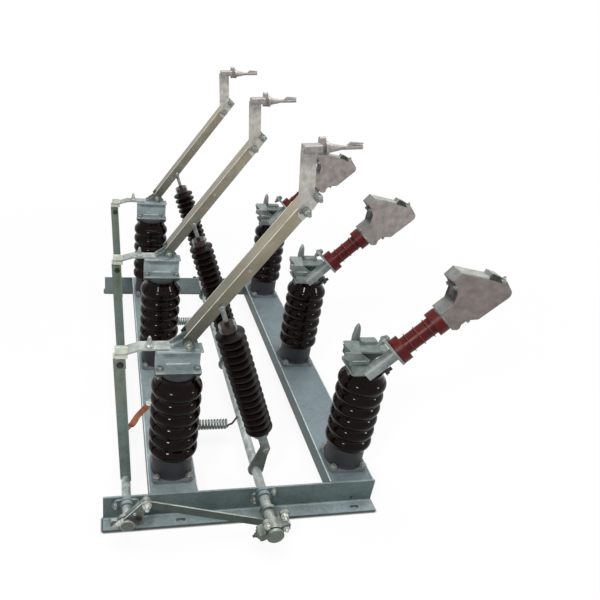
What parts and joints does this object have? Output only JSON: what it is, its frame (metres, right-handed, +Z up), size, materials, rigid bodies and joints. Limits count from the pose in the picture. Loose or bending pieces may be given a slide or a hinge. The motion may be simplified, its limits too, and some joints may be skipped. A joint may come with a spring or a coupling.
{
  "type": "disconnect switch",
  "caption": "Three-phase outdoor disconnect switch: post insulators on a steel frame, swinging U-section blades with rod drive, inclined interrupters and an interlocked earthing switch",
  "frame": {"origin": "centre of the bounding box on the ground, under the feet of the cross beams", "axes": "+X from the hinge side to the interrupter side, +Y from the front phase to the rear phase, +Z up"},
  "size_m": [1.2918, 1.95, 1.3323],
  "materials": {
    "galvanised_steel": "satin",
    "porcelain_glaze": "gloss",
    "cast_fitting": "satin",
    "blade_metal": "satin",
    "terminal_metal": "satin",
    "jaw_casting": "matte",
    "head_casting": "matte",
    "red_polymer": "satin",
    "brown_polymer": "satin",
    "spring_steel": "satin",
    "copper_strap": "satin"
  },
  "bodies": {
    "base": {"front_beam": "galvanised_steel", "rear_beam": "galvanised_steel", "left_channel": "galvanised_steel", "right_channel": "galvanised_steel", "post_foot_left_front": "cast_fitting", "porcelain_left_front": "porcelain_glaze", "post_foot_left_mid": "cast_fitting", "porcelain_left_mid": "porcelain_glaze", "post_foot_left_rear": "cast_fitting", "porcelain_left_rear": "porcelain_glaze", "post_foot_right_front": "cast_fitting", "porcelain_right_front": "porcelain_glaze", "post_foot_right_mid": "cast_fitting", "porcelain_right_mid": "porcelain_glaze", "post_foot_right_rear": "cast_fitting", "porcelain_right_rear": "porcelain_glaze", "hinge_bracket_front": "galvanised_steel", "terminal_front": "terminal_metal", "jaw_front": "jaw_casting", "interrupter_front": "red_polymer", "head_front": "head_casting", "hinge_bracket_mid": "galvanised_steel", "terminal_mid": "terminal_metal", "jaw_mid": "jaw_casting", "interrupter_mid": "red_polymer", "head_mid": "head_casting", "hinge_bracket_rear": "galvanised_steel", "terminal_rear": "terminal_metal", "jaw_rear": "jaw_casting", "interrupter_rear": "red_polymer", "head_rear": "head_casting", "spring_front": "spring_steel", "spring_rear": "spring_steel", "earth_strap": "copper_strap"},
    "main_shaft": {"main_shaft": "galvanised_steel"},
    "blade_front": {"blade_front": "blade_metal", "arm_front": "blade_metal"},
    "blade_mid": {"blade_mid": "blade_metal", "arm_mid": "blade_metal"},
    "blade_rear": {"blade_rear": "blade_metal", "arm_rear": "blade_metal"},
    "rod_front": {"rod_front": "galvanised_steel", "rod_insulator_front": "brown_polymer"},
    "rod_mid": {"rod_mid": "galvanised_steel", "rod_insulator_mid": "brown_polymer"},
    "rod_rear": {"rod_rear": "galvanised_steel", "rod_insulator_rear": "brown_polymer"},
    "earth_shaft": {"earth_shaft": "galvanised_steel", "earth_blade_front": "galvanised_steel", "earth_blade_mid": "galvanised_steel", "earth_blade_rear": "galvanised_steel"},
    "interlock_link": {"interlock_link": "galvanised_steel"}
  },
  "joints": [
    {"name": "main_shaft_turn", "type": "hinge", "parent": "base", "child": "main_shaft", "pos_m": [-0.0799, 0, 0.08], "axis": [0, 1, 0], "range_deg": [0, 88.32]},
    {"name": "blade_front_swing", "type": "hinge", "parent": "base", "child": "blade_front", "pos_m": [-0.3804, -0.659, 0.669], "axis": [0, 1, 0], "range_deg": [0, 55.3]},
    {"name": "blade_mid_swing", "type": "hinge", "parent": "base", "child": "blade_mid", "pos_m": [-0.3804, 0.042, 0.669], "axis": [0, 1, 0], "range_deg": [0, 55.3]},
    {"name": "blade_rear_swing", "type": "hinge", "parent": "base", "child": "blade_rear", "pos_m": [-0.3804, 0.743, 0.669], "axis": [0, 1, 0], "range_deg": [0, 55.3]},
    {"name": "rod_front_pivot", "type": "hinge", "parent": "blade_front", "child": "rod_front", "pos_m": [-0.28242, -0.659, 0.7982], "axis": [0, 1, 0], "range_deg": [-57.36, 0]},
    {"name": "rod_mid_pivot", "type": "hinge", "parent": "blade_mid", "child": "rod_mid", "pos_m": [-0.28242, 0.042, 0.7982], "axis": [0, 1, 0], "range_deg": [-57.36, 0]},
    {"name": "rod_rear_pivot", "type": "hinge", "parent": "blade_rear", "child": "rod_rear", "pos_m": [-0.28242, 0.743, 0.7982], "axis": [0, 1, 0], "range_deg": [-57.36, 0]},
    {"name": "earth_shaft_turn", "type": "hinge", "parent": "base", "child": "earth_shaft", "pos_m": [-0.5659, 0, 0.08], "axis": [0, 1, 0], "range_deg": [-50.42, 0]},
    {"name": "interlock_link_pivot", "type": "hinge", "parent": "earth_shaft", "child": "interlock_link", "pos_m": [-0.50484, -0.868, 0.16591], "axis": [0, 1, 0], "range_deg": [0, 49.3]}
  ],
  "couplings": [
    {"joint": "blade_front_swing", "follows": "main_shaft_turn", "ratio": 0.62613},
    {"joint": "blade_mid_swing", "follows": "main_shaft_turn", "ratio": 0.62613},
    {"joint": "blade_rear_swing", "follows": "main_shaft_turn", "ratio": 0.62613},
    {"joint": "rod_front_pivot", "follows": "main_shaft_turn", "ratio": -0.6493},
    {"joint": "rod_mid_pivot", "follows": "main_shaft_turn", "ratio": -0.6493},
    {"joint": "rod_rear_pivot", "follows": "main_shaft_turn", "ratio": -0.6493},
    {"joint": "earth_shaft_turn", "follows": "main_shaft_turn", "ratio": -0.57074},
    {"joint": "interlock_link_pivot", "follows": "main_shaft_turn", "ratio": 0.55804}
  ]
}
